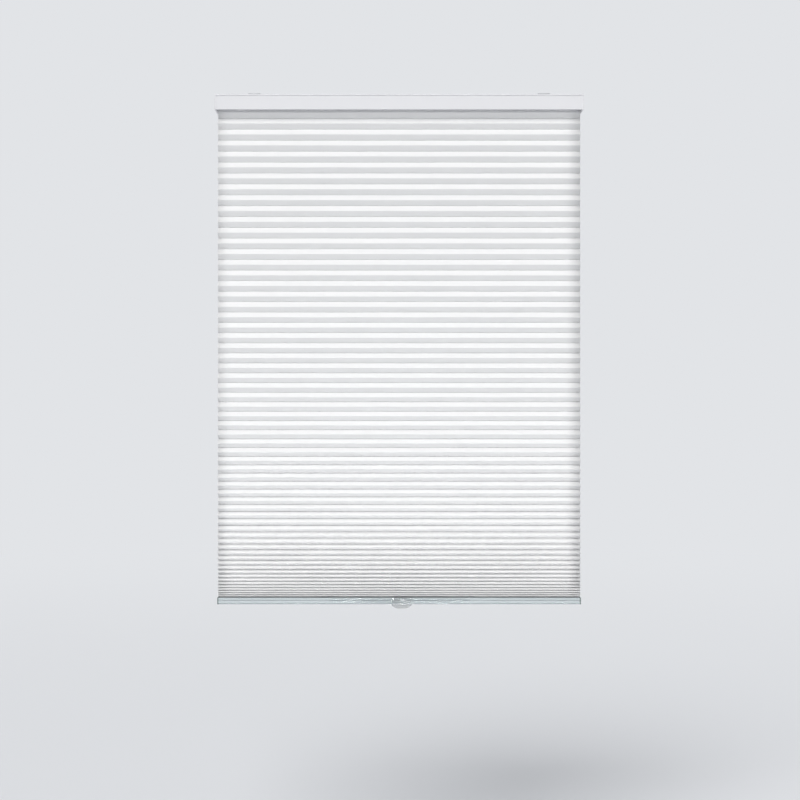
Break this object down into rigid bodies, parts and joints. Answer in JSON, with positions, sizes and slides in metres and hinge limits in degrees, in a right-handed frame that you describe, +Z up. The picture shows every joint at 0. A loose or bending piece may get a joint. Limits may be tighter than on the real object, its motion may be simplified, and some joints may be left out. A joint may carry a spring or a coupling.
{
  "type": "cordless cellular shade",
  "caption": "White cordless cellular window shade: honeycomb fabric between a slim metal headrail with a spring lift and a bottom rail with a clear lift handle.",
  "frame": {"origin": "middle of the plane in which the two mounting brackets meet the window head", "axes": "+X along the width, to the right seen from the room; +Y out of the room, towards the window; +Z up"},
  "size_m": [0.5984, 0.0455, 0.8355],
  "materials": {
    "white_paint": "satin",
    "white_cap": "matte",
    "bracket_steel": "zinc plated",
    "motor_plastic": "matte",
    "drum_plastic": "smooth",
    "screw_steel": "zinc plated",
    "spring_steel": "rolled",
    "guide_plastic": "matte",
    "pin_steel": "polished",
    "lift_cord": "braided",
    "cell_cloth": "nonwoven",
    "strip_plastic": "matte",
    "rail_paint": "satin",
    "rail_cap": "matte",
    "bar_steel": "mill",
    "clear_plastic": "clear polished"
  },
  "bodies": {
    "headrail_assembly": {"headrail": "white_paint", "headrail_end_cap_left": "white_cap", "headrail_end_cap_right": "white_cap", "mounting_bracket_left": "bracket_steel", "mounting_bracket_right": "bracket_steel", "motor_housing": "motor_plastic", "motor_cover": "motor_plastic", "cover_screws": "screw_steel", "power_spring": "spring_steel", "cord_guide_left": "guide_plastic", "cord_guide_right": "guide_plastic", "guide_pin_left": "pin_steel", "guide_pin_right": "pin_steel", "lift_cord_left": "lift_cord", "lift_cord_right": "lift_cord", "top_fabric_strip": "strip_plastic", "cellular_fabric": "cell_cloth"},
    "bottom_rail_assembly": {"bottom_rail": "rail_paint", "bottom_rail_end_cap_left": "rail_cap", "bottom_rail_end_cap_right": "rail_cap", "ballast_bar": "bar_steel", "bottom_fabric_strip": "strip_plastic", "cord_anchor_left": "guide_plastic", "cord_anchor_right": "guide_plastic", "lift_handle": "clear_plastic"},
    "cord_spool_left": {"cord_spool_left": "drum_plastic"},
    "drive_drum": {"drive_drum": "drum_plastic"},
    "storage_drum": {"storage_drum": "drum_plastic"},
    "cord_spool_right": {"cord_spool_right": "drum_plastic"}
  },
  "joints": [
    {"name": "bottom_rail_slide", "type": "slide", "parent": "headrail_assembly", "child": "bottom_rail_assembly", "axis": [0, 0, 1], "range_m": [-0.2, 0.7], "deforming": ["cellular_fabric", "lift_cord_left", "lift_cord_right"]},
    {"name": "cord_spool_left_spin", "type": "hinge", "parent": "headrail_assembly", "child": "cord_spool_left", "pos_m": [-0.0513, 0, -0.0101], "axis": [0, 0, 1], "range_deg": [-1010, 3500]},
    {"name": "drive_drum_spin", "type": "hinge", "parent": "headrail_assembly", "child": "drive_drum", "pos_m": [-0.0171, 0, -0.0101], "axis": [0, 0, 1], "range_deg": [-3500, 1010]},
    {"name": "storage_drum_spin", "type": "hinge", "parent": "headrail_assembly", "child": "storage_drum", "pos_m": [0.0171, 0, -0.0101], "axis": [0, 0, 1], "range_deg": [-1010, 3500]},
    {"name": "cord_spool_right_spin", "type": "hinge", "parent": "headrail_assembly", "child": "cord_spool_right", "pos_m": [0.0513, 0, -0.0101], "axis": [0, 0, 1], "range_deg": [-3500, 1010]}
  ],
  "couplings": [
    {"joint": "cord_spool_left_spin", "follows": "bottom_rail_slide", "rad_per_m": 86.957},
    {"joint": "drive_drum_spin", "follows": "bottom_rail_slide", "rad_per_m": -86.957},
    {"joint": "storage_drum_spin", "follows": "bottom_rail_slide", "rad_per_m": 86.957},
    {"joint": "cord_spool_right_spin", "follows": "bottom_rail_slide", "rad_per_m": -86.957}
  ]
}
